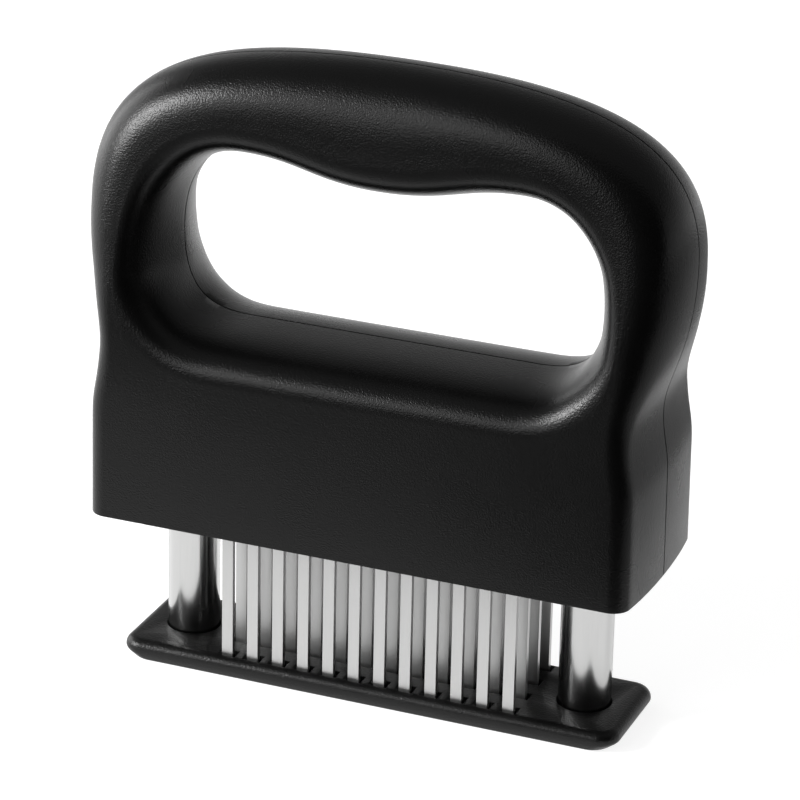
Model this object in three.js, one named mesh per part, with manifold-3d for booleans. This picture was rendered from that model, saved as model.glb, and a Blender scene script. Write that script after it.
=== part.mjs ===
// Blade meat tenderizer. A looped handle carries rows of flat blades and slides down two tubular
// columns, so that the blades pass through a slotted base plate. A spring in each column lifts it again.
// Millimetres, +Z up, +X along the handle. The origin is the middle of the base plate's underside.
import * as THREE from "three";
import { mergeVertices } from "three/addons/utils/BufferGeometryUtils.js";
import Module from "manifold-3d";

const wasm = await Module();
wasm.setup();

// Blades
const bladesPerRow = 12;
const bladeRows = 4;
const bladePitch = 5.7;
const rowPitch = 7;
const bladeWidth = 2.4;
const bladeThickness = 1.2;
const bladeTipWidth = 0.5;
const bladeTipThickness = 0.2;
const bladeBevelLength = 3;
const bladeTipRecess = 0.8; // at rest the tips stay this far inside the plate
const bladeHeadWidth = 3.8;
const bladeHeadHeight = 1.6;
const bladeToColumn = 12.65; // last blade's centre to the column's axis
const exposedBlade = 31.3; // from the plate's top to the housing, at rest

// Base plate
const plateThickness = 4.3;
const plateEndMargin = 11.15; // column's axis to the plate's end
const plateSideMargin = 3.1; // outer row's centre to the plate's side
const plateCornerRadius = 4.4;
const plateEdgeRadius = 2.1;
const plateTaperHeight = 1.7; // below this the plate draws in to its underside
const plateEndTaper = 2.2;
const plateSideTaper = 0.5;
const slotLeadIn = 0.6;
const socketDepth = 1.6;

// Columns
const columnDiameter = 11;
const columnWall = 1;
const columnPlugHeight = 6;
const columnFootChamfer = 0.4;
const collarWidth = 1.5; // how far the collar stands out of the tube
const collarHeight = 2.5;
const strokeLength = 28;

// Guide bushes
const bushWall = 1.6;
const bushLength = 7;

// Return springs
const springWire = 0.8;
const springActiveCoils = 10;
const springDeadCoils = 1; // closed coils at each end
const springCoilGap = 0.45; // between closed coils

// Countersunk screws from below
const screwDiameter = 3.5;
const screwHeadDiameter = 7;
const screwHeadHeight = 1.6;
const screwLength = 7;
const screwSink = 0.3; // how far the head lies inside the plate
const screwCrossWidth = 0.9;
const screwCrossLength = 4;
const screwCrossDepth = 1;

// Blade holder
const holderHeight = 16;
const holderFlangeThickness = 3;
const holderEndWall = 1;
const holderSideWall = 2;
const bushBossWall = 2;

// Housing, the box that the loop grows out of
const housingWall = 2.5;
const housingEndMargin = 15.75; // column's axis to the housing's end
const housingOverhang = 7.8; // how far the housing's side stands out past the plate's
const housingDraft = 0.35; // how much each end draws in up to the shoulder
const housingLip = 1; // lip that the blade holder rests on
const housingLipHeight = 0.8;
const cornerReach = 5.6; // the end's crown and the corner's radius together
const floorWall = 2.4; // over the column bores
const floorReach = 14.6; // from the opening's floor down to the flat side
const waistDrop = 5; // the waist lies this far below the opening's floor
const shoulderDrop = 19.4;
const waistDepth = 1.8;

// Loop
const loopBulge = 3.9; // how far the loop stands out past the housing's end
const loopWidestRise = 26.2; // above the opening's floor
const loopHalfDepth = 11.35;
const gripHeight = 25.9; // the grip's section at the middle
const openingSideMargin = 2.2; // column's axis to the opening's side
const openingSideRise = 16.6; // the opening's widest place above its floor
const openingHeight = 32.75; // under the middle of the grip
const gripSwell = 3.85; // how far the middle of the grip hangs below its ends
const swellReach = 30; // the middle to the hollow beside it
const floorFlat = 31.2; // the middle to where the floor starts to turn up

// Where the box's section turns into the loop's, above the opening's floor
const depthBlendStart = -12.6;
const depthBlendEnd = 60;
const outerBlendStart = -8.8;
const outerBlendEnd = 12;
const innerBlendEnd = 25;
const sideBlendStart = 2;
const sideBlendEnd = 12;
const gripBlendStart = 24;
const gripBlendEnd = 33;

// Locating pins between the two halves
const pinRadius = 1.5;
const pinLength = 2.5;
const pinBossWall = 1.8;

// Clamping ribs over the blade heads
const ribThickness = 1.6;

// Clearances
const partingGap = 0.3; // between the two halves
const seatClearance = 0.1; // between pieces that are fastened or pressed together
const slotClearance = 0.3; // around a blade in the plate
const runningClearance = 0.1; // around a column in its bush
const socketClearance = 0.3; // around a column's foot
const threadClearance = 0.15;
const screwHoleClearance = 0.3;
const boreClearance = 0.5; // around a collar in the housing
const boreEndClearance = 0.3;
const springClearance = 0.35; // around a spring in its column

// Shapes of the curves, as shares of the lengths that they bend
const gripTopShares = [0.785, 0.375]; // how soon the top turns, along and down
const loopSideShares = [0.58, 0.225];
const shoulderShares = [0.44, 0.465];
const swellShares = [0.42, 0.48];
const hollowShares = [0.635, 0.635];
const floorTurnShares = [0.555, 0.865];
const loopOuterShare = 0.51; // part of the loop's section that its outer rounding takes
const loopInnerShare = 0.47;
const floorInnerShare = 0.86; // the same, low down at the opening's corners
const roundFullShares = [0.625, 0.69]; // fullness of a round quarter section
const cornerFullShares = [0.895, 0.9]; // of the housing's crowned end and its corner
const floorFullShares = [0.5, 0.63]; // of the opening's floor and its edge
const sideFullShares = [0.315, 0.525]; // the same, at the opening's sides
const gripFullShares = [0.48, 0.64]; // and under the grip
const insetTurnShare = 1.3; // how much tighter the hollow's roundings turn, as a share of the wall

// Fineness
const columnSides = 32;
const smallSides = 16;
const springStepsPerCoil = 8;
const springSides = 5;
const filletSteps = 4;
const cornerSteps = 4;
const outerRows = 5;
const innerRows = 5;
const cavityRows = 3;
const gripTopSteps = 12;
const loopSideSteps = 6;
const shoulderSteps = 3;
const boxEndSteps = 2;
const undersideSteps = 7;
const swellSteps = 6;
const hollowSteps = 7;
const floorTurnSteps = 9;
const mergeTolerance = 1e-4;
const overrun = 5; // how far a cutter runs past what it cuts

// Sizes that follow
const columnSpacing = (bladesPerRow - 1) * bladePitch + 2 * bladeToColumn;
const columnX = columnSpacing / 2;
const columnRadius = columnDiameter / 2;
const columnBore = columnRadius - columnWall;
const bladeFieldX = ((bladesPerRow - 1) * bladePitch) / 2;
const bladeFieldY = ((bladeRows - 1) * rowPitch) / 2;
const plateHalfLength = columnX + plateEndMargin;
const plateHalfDepth = bladeFieldY + plateSideMargin;
const housingHalfLength = columnX + housingEndMargin;
const housingHalfDepth = plateHalfDepth + housingOverhang;
const bushRadius = columnRadius + runningClearance + bushWall;
const bushBossRadius = bushRadius + seatClearance + bushBossWall;
const collarRadius = columnRadius + collarWidth;
const boreRadius = collarRadius + boreClearance;
const screwRadius = screwDiameter / 2;
const screwHeadRadius = screwHeadDiameter / 2;

// Levels, from the plate's underside up
const columnFootZ = plateThickness - socketDepth + seatClearance;
const columnPlugZ = columnFootZ + columnPlugHeight;
const housingBottomZ = plateThickness + exposedBlade;
const holderBottomZ = housingBottomZ + housingLipHeight;
const holderTopZ = holderBottomZ + holderHeight;
const bushTopZ = holderBottomZ + bushLength;
const collarBottomZ = bushTopZ + seatClearance;
const collarTopZ = collarBottomZ + collarHeight;
const boreTopZ = collarTopZ + strokeLength + boreEndClearance;
const floorZ = boreTopZ + floorWall;
const loopTopZ = floorZ + openingHeight + gripHeight;

// Finishes
const blackPlastic = new THREE.MeshStandardMaterial({ color: 0x1d1e20, roughness: 0.55, metalness: 0 });
const platePlastic = new THREE.MeshStandardMaterial({ color: 0x202123, roughness: 0.35, metalness: 0 });
const innerPlastic = new THREE.MeshStandardMaterial({ color: 0x2b2c2e, roughness: 0.6, metalness: 0 });
const bushPlastic = new THREE.MeshStandardMaterial({ color: 0xe4e3dd, roughness: 0.5, metalness: 0 });
const columnSteel = new THREE.MeshStandardMaterial({ color: 0xc9cacc, roughness: 0.28, metalness: 1 });
const bladeSteel = new THREE.MeshStandardMaterial({ color: 0xd2d3d4, roughness: 0.3, metalness: 1 });
const springSteel = new THREE.MeshStandardMaterial({ color: 0x9a9b9d, roughness: 0.35, metalness: 1 });
const screwSteel = new THREE.MeshStandardMaterial({ color: 0xb4b5b7, roughness: 0.35, metalness: 1 });

const tenderizer = new THREE.Group();

// A closed geometry as a solid that can be joined and cut.
function solidFrom(geometry) {
  const bare = geometry.index ? geometry.toNonIndexed() : geometry.clone();
  bare.deleteAttribute("normal");
  bare.deleteAttribute("uv");
  const merged = mergeVertices(bare, mergeTolerance);
  return new wasm.Manifold(
    new wasm.Mesh({
      numProp: 3,
      vertProperties: merged.attributes.position.array,
      triVerts: new Uint32Array(merged.index.array),
    }),
  );
}

function geometryFrom(solid) {
  const mesh = solid.getMesh();
  const geometry = new THREE.BufferGeometry();
  geometry.setAttribute("position", new THREE.BufferAttribute(mesh.vertProperties, 3));
  geometry.setIndex(new THREE.BufferAttribute(mesh.triVerts, 1));
  geometry.computeVertexNormals();
  return geometry;
}

function addPiece(name, geometry, material, parent = tenderizer) {
  const mesh = new THREE.Mesh(geometry, material);
  mesh.name = name;
  parent.add(mesh);
  return mesh;
}

// Joins solids pair by pair, so that long lists stay quick.
function joined(solids) {
  if (solids.length === 1) return solids[0];
  const half = Math.ceil(solids.length / 2);
  return joined(solids.slice(0, half)).add(joined(solids.slice(half)));
}

// A skin over loops that hold the same number of points. It closes round from the last loop to the
// first, or is capped flat at both ends, where the loops are convex. Seen from the last loop's side
// the loops run anticlockwise, or clockwise where the skin is flipped.
function skinGeometry(loops, { ring = false, flipped = false } = {}) {
  const count = loops[0].length;
  const positions = loops.flat().flatMap((point) => [point.x, point.y, point.z]);
  const triangles = [];
  const addTriangle = (a, b, c) => (flipped ? triangles.push(a, c, b) : triangles.push(a, b, c));
  const bands = ring ? loops.length : loops.length - 1;
  for (let row = 0; row < bands; row++) {
    const next = (row + 1) % loops.length;
    for (let i = 0; i < count; i++) {
      const j = (i + 1) % count;
      addTriangle(row * count + i, row * count + j, next * count + j);
      addTriangle(row * count + i, next * count + j, next * count + i);
    }
  }
  if (!ring) {
    const last = (loops.length - 1) * count;
    for (let i = 1; i + 1 < count; i++) {
      addTriangle(0, i + 1, i);
      addTriangle(last, last + i, last + i + 1);
    }
  }
  const geometry = new THREE.BufferGeometry();
  geometry.setAttribute("position", new THREE.Float32BufferAttribute(positions, 3));
  geometry.setIndex(triangles);
  geometry.computeVertexNormals();
  return geometry;
}

// A rectangular ring round the Z axis, for blades and their slots.
function rectangleLoop(width, depth, z) {
  const x = width / 2;
  const y = depth / 2;
  return [
    new THREE.Vector3(-x, -y, z),
    new THREE.Vector3(x, -y, z),
    new THREE.Vector3(x, y, z),
    new THREE.Vector3(-x, y, z),
  ];
}

// A rectangular ring with rounded corners.
function roundedLoop(halfLength, halfDepth, radius, z) {
  const points = [];
  const corners = [
    [-1, -1, Math.PI],
    [1, -1, 1.5 * Math.PI],
    [1, 1, 0],
    [-1, 1, 0.5 * Math.PI],
  ];
  for (const [sideX, sideY, start] of corners) {
    for (let step = 0; step <= cornerSteps; step++) {
      const angle = start + (step / cornerSteps) * 0.5 * Math.PI;
      const x = sideX * (halfLength - radius) + radius * Math.cos(angle);
      const y = sideY * (halfDepth - radius) + radius * Math.sin(angle);
      points.push(new THREE.Vector3(x, y, z));
    }
  }
  return points;
}

function boxSolid([x0, y0, z0], [x1, y1, z1]) {
  const geometry = new THREE.BoxGeometry(x1 - x0, y1 - y0, z1 - z0);
  geometry.translate((x0 + x1) / 2, (y0 + y1) / 2, (z0 + z1) / 2);
  return solidFrom(geometry);
}

function uprightCylinder(radius, z0, z1, x, y = 0, sides = columnSides) {
  const geometry = new THREE.CylinderGeometry(radius, radius, z1 - z0, sides);
  geometry.rotateX(Math.PI / 2).translate(x, y, (z0 + z1) / 2);
  return solidFrom(geometry);
}

// A cylinder that runs from front to back.
function crossCylinder(radius, y0, y1, x, z) {
  const geometry = new THREE.CylinderGeometry(radius, radius, y1 - y0, smallSides);
  geometry.rotateY(Math.PI / smallSides).translate(x, (y0 + y1) / 2, z);
  return solidFrom(geometry);
}

// A turned piece round the Z axis, from a closed profile of [radius, z] pairs that runs
// anticlockwise with the radius to the right.
function turned(profile, sides = columnSides) {
  const points = [...profile, profile[0]].map(([radius, z]) => new THREE.Vector2(radius, z));
  const geometry = new THREE.LatheGeometry(points, sides);
  return geometry.rotateX(Math.PI / 2);
}

// The middle of each blade, row by row from the front.
function bladePlaces() {
  const places = [];
  for (let row = 0; row < bladeRows; row++) {
    for (let place = 0; place < bladesPerRow; place++) {
      places.push({ row, place, x: place * bladePitch - bladeFieldX, y: row * rowPitch - bladeFieldY });
    }
  }
  return places;
}

// One cutter for every blade, joined.
function slotCutters(loops) {
  const one = skinGeometry(loops);
  return joined(bladePlaces().map(({ x, y }) => solidFrom(one.clone().translate(x, y, 0))));
}

// Base plate
function basePlateGeometry() {
  const loops = [
    roundedLoop(
      plateHalfLength - plateEndTaper,
      plateHalfDepth - plateSideTaper,
      plateCornerRadius - (plateEndTaper + plateSideTaper) / 2,
      0,
    ),
    roundedLoop(plateHalfLength, plateHalfDepth, plateCornerRadius, plateTaperHeight),
  ];
  for (let step = 0; step <= filletSteps; step++) {
    const angle = (step / filletSteps) * 0.5 * Math.PI;
    const inset = plateEdgeRadius * (1 - Math.cos(angle));
    const z = plateThickness - plateEdgeRadius * (1 - Math.sin(angle));
    loops.push(roundedLoop(plateHalfLength - inset, plateHalfDepth - inset, plateCornerRadius - inset, z));
  }
  const slotWidth = bladeWidth + 2 * slotClearance;
  const slotDepth = bladeThickness + 2 * slotClearance;
  const mouth = 2 * slotLeadIn;
  const slots = slotCutters([
    rectangleLoop(slotWidth, slotDepth, -overrun),
    rectangleLoop(slotWidth, slotDepth, plateThickness - slotLeadIn),
    rectangleLoop(slotWidth + mouth, slotDepth + mouth, plateThickness),
    rectangleLoop(slotWidth + mouth, slotDepth + mouth, plateThickness + overrun),
  ]);
  const sockets = [];
  for (const x of [-columnX, columnX]) {
    const radius = columnRadius + socketClearance;
    sockets.push(
      uprightCylinder(radius, plateThickness - socketDepth, plateThickness + overrun, x),
      solidFrom(screwHoleGeometry().translate(x, 0, 0)),
    );
  }
  return geometryFrom(solidFrom(skinGeometry(loops)).subtract(slots).subtract(joined(sockets)));
}

// The countersunk hole for a screw, with the head's clearance all round.
function screwHoleGeometry() {
  const holeRadius = screwRadius + screwHoleClearance;
  const mouthRadius = screwHeadRadius + screwHoleClearance;
  return turned(
    [
      [0, -overrun],
      [mouthRadius, -overrun],
      [mouthRadius, screwSink],
      [holeRadius, screwSink + screwHeadHeight],
      [holeRadius, plateThickness],
      [0, plateThickness],
    ],
    smallSides,
  );
}

// Countersunk screw with a cross recess, driven up from under the plate
function screwGeometry() {
  const body = turned(
    [
      [0, screwSink],
      [screwHeadRadius, screwSink],
      [screwRadius, screwSink + screwHeadHeight],
      [screwRadius, screwSink + screwLength],
      [0, screwSink + screwLength],
    ],
    smallSides,
  );
  const half = screwCrossLength / 2;
  const slot = screwCrossWidth / 2;
  const top = screwSink + screwCrossDepth;
  const cross = boxSolid([-half, -slot, -overrun], [half, slot, top]).add(
    boxSolid([-slot, -half, -overrun], [slot, half, top]),
  );
  return geometryFrom(solidFrom(body).subtract(cross));
}

// Column: a drawn tube with a threaded plug at its foot and a collar at its top
function columnGeometry() {
  const threadRadius = screwRadius + threadClearance;
  return turned([
    [threadRadius, columnFootZ],
    [columnRadius - columnFootChamfer, columnFootZ],
    [columnRadius, columnFootZ + columnFootChamfer],
    [columnRadius, collarBottomZ],
    [collarRadius, collarBottomZ],
    [collarRadius, collarTopZ],
    [columnBore, collarTopZ],
    [columnBore, columnPlugZ],
    [threadRadius, columnPlugZ],
  ]);
}

// Guide bush, pressed into the blade holder
function bushGeometry() {
  const bore = columnRadius + runningClearance;
  return turned([
    [bore, holderBottomZ],
    [bushRadius, holderBottomZ],
    [bushRadius, bushTopZ],
    [bore, bushTopZ],
  ]);
}

// The spring's wire climbs slowly through the closed coils at each end and evenly between them.
class SpringCurve extends THREE.Curve {
  constructor(meanRadius, bottom, top) {
    super();
    this.meanRadius = meanRadius;
    this.bottom = bottom;
    this.coils = springActiveCoils + 2 * springDeadCoils;
    this.deadPitch = springWire + springCoilGap;
    this.activePitch = (top - bottom - 2 * springDeadCoils * this.deadPitch) / springActiveCoils;
  }

  getPoint(share, target = new THREE.Vector3()) {
    const turn = share * this.coils;
    const low = Math.min(turn, springDeadCoils);
    const middle = THREE.MathUtils.clamp(turn - springDeadCoils, 0, springActiveCoils);
    const high = Math.max(turn - springDeadCoils - springActiveCoils, 0);
    const z = this.bottom + (low + high) * this.deadPitch + middle * this.activePitch;
    const angle = 2 * Math.PI * turn;
    return target.set(this.meanRadius * Math.cos(angle), this.meanRadius * Math.sin(angle), z);
  }
}

// Return spring, from the column's plug to the end of the bore in the housing
function springGeometry() {
  const wireRadius = springWire / 2;
  const meanRadius = columnBore - springClearance - wireRadius;
  const bottom = columnPlugZ + seatClearance + wireRadius;
  const top = boreTopZ - seatClearance - wireRadius;
  const curve = new SpringCurve(meanRadius, bottom, top);
  const steps = curve.coils * springStepsPerCoil;
  const centres = [];
  const loops = [];
  for (let step = 0; step <= steps; step++) {
    const centre = curve.getPoint(step / steps);
    const angle = (2 * Math.PI * step) / springStepsPerCoil;
    const outward = new THREE.Vector3(Math.cos(angle), Math.sin(angle), 0);
    const loop = [];
    for (let side = 0; side < springSides; side++) {
      const turn = (2 * Math.PI * side) / springSides;
      const point = centre.clone().addScaledVector(outward, wireRadius * Math.cos(turn));
      point.z += wireRadius * Math.sin(turn);
      loop.push(point);
    }
    centres.push(centre);
    loops.push(loop);
  }
  console.log("return spring: least gap to itself", leastGap(centres).toFixed(2), "mm");
  return skinGeometry(loops, { flipped: true });
}

// The smallest space between the spring's own turns, measured at least half a turn apart.
function leastGap(centres) {
  let least = Infinity;
  for (let i = 0; i < centres.length; i++) {
    for (let j = i + springStepsPerCoil / 2; j < centres.length; j++) {
      least = Math.min(least, centres[i].distanceTo(centres[j]) - springWire);
    }
  }
  return least;
}

// One blade: a double-bevelled tip, a flat body and a wider head that hangs in the holder
function bladeGeometry() {
  return skinGeometry([
    rectangleLoop(bladeTipWidth, bladeTipThickness, bladeTipRecess),
    rectangleLoop(bladeWidth, bladeThickness, bladeTipRecess + bladeBevelLength),
    rectangleLoop(bladeWidth, bladeThickness, holderTopZ - bladeHeadHeight),
    rectangleLoop(bladeHeadWidth, bladeThickness, holderTopZ - bladeHeadHeight),
    rectangleLoop(bladeHeadWidth, bladeThickness, holderTopZ),
  ]);
}

// Blade holder: a flange that closes the housing, a block with a slot for each blade, and two bush bosses
function holderGeometry() {
  const flangeX = housingHalfLength - cornerReach - seatClearance;
  const flangeY = housingHalfDepth - housingWall - seatClearance;
  const blockX = bladeFieldX + bladeHeadWidth / 2 + holderEndWall;
  const blockY = bladeFieldY + bladeThickness / 2 + holderSideWall;
  const flangeTopZ = holderBottomZ + holderFlangeThickness;
  const body = joined([
    solidFrom(
      skinGeometry([
        roundedLoop(flangeX, flangeY, cornerReach, holderBottomZ),
        roundedLoop(flangeX, flangeY, cornerReach, flangeTopZ),
      ]),
    ),
    boxSolid([-blockX, -blockY, holderBottomZ], [blockX, blockY, holderTopZ]),
    uprightCylinder(bushBossRadius, holderBottomZ, bushTopZ, -columnX),
    uprightCylinder(bushBossRadius, holderBottomZ, bushTopZ, columnX),
  ]);
  const slotWidth = bladeWidth + 2 * seatClearance;
  const slotDepth = bladeThickness + 2 * seatClearance;
  const headWidth = bladeHeadWidth + 2 * seatClearance;
  const headSeatZ = holderTopZ - bladeHeadHeight - seatClearance;
  const slots = slotCutters([
    rectangleLoop(slotWidth, slotDepth, holderBottomZ - overrun),
    rectangleLoop(slotWidth, slotDepth, headSeatZ),
    rectangleLoop(headWidth, slotDepth, headSeatZ),
    rectangleLoop(headWidth, slotDepth, holderTopZ + overrun),
  ]);
  const bores = joined(
    [-columnX, columnX].map((x) =>
      uprightCylinder(bushRadius + seatClearance, holderBottomZ - overrun, holderTopZ, x),
    ),
  );
  return geometryFrom(body.subtract(slots).subtract(bores));
}

// A cubic curve whose ends run along the two given directions, as [x, z] points.
function bendPoints(start, startHandle, endHandle, end, steps) {
  const curve = new THREE.CubicBezierCurve(
    new THREE.Vector2(...start),
    new THREE.Vector2(...startHandle),
    new THREE.Vector2(...endHandle),
    new THREE.Vector2(...end),
  );
  return curve.getPoints(steps);
}

function linePoints(start, end, steps) {
  return new THREE.LineCurve(new THREE.Vector2(...start), new THREE.Vector2(...end)).getPoints(steps);
}

// Joins stretches that meet end to end, without doubling the points where they meet.
function chained(stretches) {
  return stretches.flatMap((stretch, i) => (i ? stretch.slice(1) : stretch));
}

// A right-hand half, from the top middle to the bottom middle, made a whole loop. Seen from the front
// it runs clockwise.
function mirroredLoop(half) {
  const left = half.slice(1, -1).reverse();
  return [...half, ...left.map((point) => new THREE.Vector2(-point.x, point.y))];
}

// The housing's outline in the parting plane. It runs on below the housing, to be cut off flat.
function outerOutline() {
  const widestX = housingHalfLength + loopBulge;
  const widestZ = floorZ + loopWidestRise;
  const waistX = housingHalfLength - waistDepth;
  const waistZ = floorZ - waistDrop;
  const shoulderX = housingHalfLength - housingDraft;
  const shoulderZ = floorZ - shoulderDrop;
  const cutZ = housingBottomZ - 2 * overrun;
  const rise = loopTopZ - widestZ;
  const side = widestZ - waistZ;
  const shoulder = waistZ - shoulderZ;
  return mirroredLoop(
    chained([
      bendPoints(
        [0, loopTopZ],
        [gripTopShares[0] * widestX, loopTopZ],
        [widestX, loopTopZ - gripTopShares[1] * rise],
        [widestX, widestZ],
        gripTopSteps,
      ),
      bendPoints(
        [widestX, widestZ],
        [widestX, widestZ - loopSideShares[0] * side],
        [waistX, waistZ + loopSideShares[1] * side],
        [waistX, waistZ],
        loopSideSteps,
      ),
      bendPoints(
        [waistX, waistZ],
        [waistX, waistZ - shoulderShares[0] * shoulder],
        [shoulderX, shoulderZ + shoulderShares[1] * shoulder],
        [shoulderX, shoulderZ],
        shoulderSteps,
      ),
      linePoints([shoulderX, shoulderZ], [housingHalfLength, cutZ], boxEndSteps),
      linePoints([housingHalfLength, cutZ], [0, cutZ], undersideSteps),
    ]),
  );
}

// The hand opening's outline in the parting plane, with as many points as the outer one.
function openingOutline() {
  const sideX = columnX + openingSideMargin;
  const sideZ = floorZ + openingSideRise;
  const swellZ = floorZ + openingHeight;
  const hollowZ = swellZ + gripSwell;
  const rise = hollowZ - sideZ;
  const reach = sideX - swellReach;
  const turn = sideX - floorFlat;
  const outerSteps = gripTopSteps + loopSideSteps + shoulderSteps + boxEndSteps + undersideSteps;
  const floorSteps = outerSteps - swellSteps - hollowSteps - floorTurnSteps;
  return mirroredLoop(
    chained([
      bendPoints(
        [0, swellZ],
        [swellShares[1] * swellReach, swellZ],
        [swellReach - swellShares[0] * swellReach, hollowZ],
        [swellReach, hollowZ],
        swellSteps,
      ),
      bendPoints(
        [swellReach, hollowZ],
        [swellReach + hollowShares[0] * reach, hollowZ],
        [sideX, sideZ + hollowShares[1] * rise],
        [sideX, sideZ],
        hollowSteps,
      ),
      bendPoints(
        [sideX, sideZ],
        [sideX, sideZ - floorTurnShares[1] * openingSideRise],
        [floorFlat + floorTurnShares[0] * turn, floorZ],
        [floorFlat, floorZ],
        floorTurnSteps,
      ),
      linePoints([floorFlat, floorZ], [0, floorZ], floorSteps),
    ]),
  );
}

// The unit direction away from a clockwise loop at each point, longer at a sharp corner.
function outwardNormals(loop) {
  return loop.map((point, i) => {
    const before = loop[(i + loop.length - 1) % loop.length];
    const after = loop[(i + 1) % loop.length];
    const first = point.clone().sub(before).normalize();
    const second = after.clone().sub(point).normalize();
    const normal = new THREE.Vector2(-first.y - second.y, first.x + second.x).normalize();
    return normal.divideScalar(normal.dot(new THREE.Vector2(-first.y, first.x)));
  });
}

function distanceToLoop(point, loop) {
  const distances = loop.map((from, i) => {
    const along = loop[(i + 1) % loop.length].clone().sub(from);
    const share = THREE.MathUtils.clamp(point.clone().sub(from).dot(along) / along.lengthSq(), 0, 1);
    return point.distanceTo(from.clone().addScaledVector(along, share));
  });
  return Math.min(...distances);
}

// A quarter section as shares of its reach and of its depth, from the parting plane to the flat.
function quarterSection([edgeFull, flatFull], share) {
  const rest = 1 - share;
  return {
    reach: 3 * rest * share * share * (1 - flatFull) + share ** 3,
    depth: 3 * rest * rest * share * edgeFull + 3 * rest * share * share + share ** 3,
  };
}

// The smaller of two lengths, without a kink where they are equal.
function softLeast(first, second) {
  return first / Math.sqrt(Math.sqrt(1 + (first / second) ** 4));
}

function mixedShares(first, second, share) {
  return first.map((value, i) => THREE.MathUtils.lerp(value, second[i], share));
}

// Half of the housing's form, drawn in by inset on every side, between the parting plane and one
// side. Each band follows the outline at its own distance, so corners keep their section.
function housingForm(side, inset, outerBands, innerBands) {
  const outer = outerOutline();
  const inner = openingOutline();
  const outerNormals = outwardNormals(outer);
  const innerNormals = outwardNormals(inner);
  const halfDepth = (z) => {
    const loopShare = THREE.MathUtils.smoothstep(z, floorZ + depthBlendStart, floorZ + depthBlendEnd);
    return THREE.MathUtils.lerp(housingHalfDepth, loopHalfDepth, loopShare) - inset;
  };
  const band = (outline, normals, away, share, sectionAt) =>
    outline.map((point, i) => {
      const { reach, fullness } = sectionAt(point);
      const quarter = quarterSection(fullness, share);
      const turn = Math.max(reach - insetTurnShare * inset, inset); // no sharp inner corners
      const distance = inset + turn * quarter.reach;
      const place = point.clone().addScaledVector(normals[i], away * distance);
      const depth = partingGap / 2 + (halfDepth(place.y) - partingGap / 2) * quarter.depth;
      return new THREE.Vector3(place.x, side * depth, place.y);
    });
  const outerSection = (point) => {
    const start = floorZ + outerBlendStart;
    const loopShare = THREE.MathUtils.smoothstep(point.y, start, floorZ + outerBlendEnd);
    const round = loopOuterShare * distanceToLoop(point, inner);
    return {
      reach: THREE.MathUtils.lerp(cornerReach, round, loopShare),
      fullness: mixedShares(cornerFullShares, roundFullShares, loopShare),
    };
  };
  const innerSection = (point) => {
    const loopShare = THREE.MathUtils.smoothstep(point.y, floorZ, floorZ + innerBlendEnd);
    const part = THREE.MathUtils.lerp(floorInnerShare, loopInnerShare, loopShare);
    const round = part * distanceToLoop(point, outer);
    const rise = point.y - floorZ;
    const sideShare = THREE.MathUtils.smoothstep(rise, sideBlendStart, sideBlendEnd);
    const gripShare = THREE.MathUtils.smoothstep(rise, gripBlendStart, gripBlendEnd);
    const sideFull = mixedShares(floorFullShares, sideFullShares, sideShare);
    return { reach: softLeast(round, floorReach), fullness: mixedShares(sideFull, gripFullShares, gripShare) };
  };
  const loops = [];
  for (let row = 0; row <= outerBands; row++) {
    loops.push(band(outer, outerNormals, -1, row / outerBands, outerSection));
  }
  for (let row = innerBands; row >= 0; row--) {
    loops.push(band(inner, innerNormals, 1, row / innerBands, innerSection));
  }
  return solidFrom(skinGeometry(loops, { ring: true, flipped: side < 0 }));
}

// The places of the locating pins: the middle of the grip and of each side of the loop.
function pinPlaces() {
  const sideX = (housingHalfLength + loopBulge + columnX + openingSideMargin) / 2;
  const sideZ = floorZ + (openingSideRise + loopWidestRise) / 2;
  return [
    [0, floorZ + openingHeight + gripHeight / 2],
    [-sideX, sideZ],
    [sideX, sideZ],
  ];
}

// One half of the handle: a moulded shell with column bores, clamping ribs and locating bosses.
function shellGeometry(side) {
  const outer = housingForm(side, 0, outerRows, innerRows);
  const trimmed = housingForm(side, housingWall / 2, cavityRows, cavityRows);
  const cavity = housingForm(side, housingWall, cavityRows, cavityRows);
  const depth = housingHalfDepth + overrun;
  const below = floorZ - housingBottomZ;
  const length = housingHalfLength + loopBulge + overrun;
  const underside = boxSolid([-length, -depth, -below], [length, depth, housingBottomZ]);
  const lipLevel = boxSolid([-length, -depth, -below], [length, depth, holderBottomZ - seatClearance]);
  const mouthX = housingHalfLength - cornerReach - housingLip;
  const mouthY = housingHalfDepth - housingWall - housingLip;
  const mouth = boxSolid([-mouthX, -mouthY, -below], [mouthX, mouthY, holderBottomZ + seatClearance]);

  const ribX = bladeFieldX + bladeHeadWidth / 2;
  const ribs = [];
  for (let row = 0; row < bladeRows; row++) {
    const y = row * rowPitch - bladeFieldY;
    const low = [-ribX, y - ribThickness / 2, holderTopZ + seatClearance];
    ribs.push(boxSolid(low, [ribX, y + ribThickness / 2, floorZ]));
  }
  const bosses = [-columnX, columnX].map((x) =>
    uprightCylinder(boreRadius + bushBossWall, bushTopZ + seatClearance, floorZ, x),
  );
  const pinBosses = pinPlaces().map(([x, z]) =>
    crossCylinder(pinRadius + threadClearance + pinBossWall, -depth, depth, x, z),
  );
  const inside = joined([...ribs, ...bosses, ...pinBosses]).intersect(trimmed);

  const bores = [-columnX, columnX].map((x) =>
    uprightCylinder(boreRadius, holderBottomZ + seatClearance, boreTopZ, x),
  );
  const shell = outer
    .subtract(cavity.subtract(lipLevel))
    .add(inside)
    .subtract(joined([underside, mouth, ...bores]));
  return geometryFrom(withPins(shell, side));
}

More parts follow.
